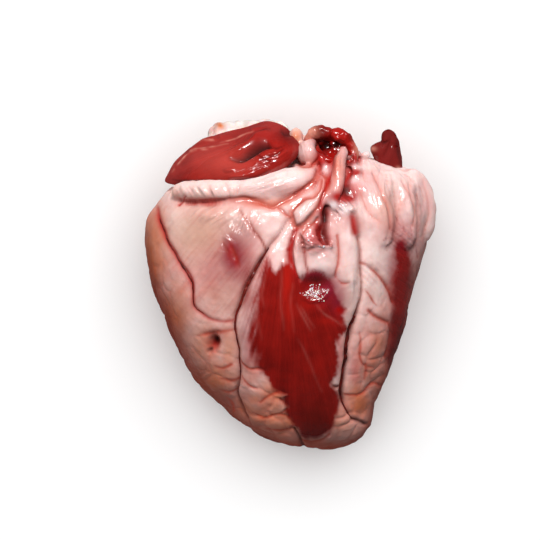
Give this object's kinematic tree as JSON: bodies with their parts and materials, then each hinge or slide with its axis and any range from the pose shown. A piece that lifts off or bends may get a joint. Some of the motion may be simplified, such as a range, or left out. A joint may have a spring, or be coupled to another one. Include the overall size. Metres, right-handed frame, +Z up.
{
  "type": "raw lamb heart",
  "caption": "Raw lamb heart with its pale fat, dark red muscle, a dark flap of cut atrium and a torn vessel mouth",
  "frame": {"origin": "on the table under the middle of the heart's box", "axes": "+Z up from the table to the shown side, +Y from the apex to the base with the cut vessels, +X to the right of the shown side"},
  "size_m": [0.0815, 0.0931, 0.0538],
  "materials": {
    "raw_flesh": "wet raw fat and muscle"
  },
  "bodies": {
    "root": {"heart": "raw_flesh"}
  },
  "joints": []
}
